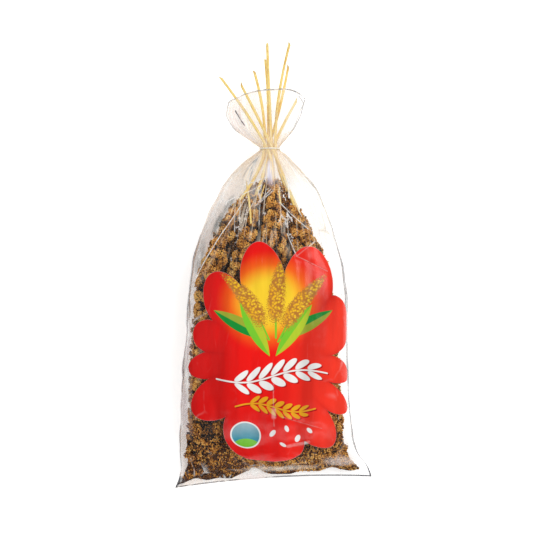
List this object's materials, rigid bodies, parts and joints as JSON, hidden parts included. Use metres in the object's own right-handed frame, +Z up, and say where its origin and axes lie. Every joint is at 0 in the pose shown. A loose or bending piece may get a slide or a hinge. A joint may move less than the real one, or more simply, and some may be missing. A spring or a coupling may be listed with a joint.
{
  "type": "bagged bunch of foxtail millet heads",
  "caption": "Clear film bag of dried foxtail millet heads lying on its back, with their straw stems gathered through the tied neck and standing out past its collar.",
  "frame": {"origin": "middle of the bottom of the bounding box, on the surface that the bag lies on", "axes": "+Z up from that surface, +Y along the bag towards the free ends of the stems, +X across the bag to the right, seen from above with the stems away from the viewer"},
  "size_m": [0.189, 0.427, 0.0629],
  "materials": {
    "clear_film": "thin clear packing film, crumpled, glossy, printed on its front",
    "tie_thread": "thin pale tie",
    "millet": "dry golden-brown seed, dull",
    "straw": "dry straw, satin"
  },
  "bodies": {
    "root": {"film_bag": "clear_film", "neck_tie": "tie_thread", "head_front_1": "millet", "head_front_2": "millet", "head_front_3": "millet", "head_front_4": "millet", "head_back_1": "millet", "head_back_2": "millet", "head_back_3": "millet", "head_back_4": "millet", "stem_front_1": "straw", "stem_front_2": "straw", "stem_front_3": "straw", "stem_front_4": "straw", "stem_back_1": "straw", "stem_back_2": "straw", "stem_back_3": "straw", "stem_back_4": "straw", "shed_grain": "millet"}
  },
  "joints": []
}
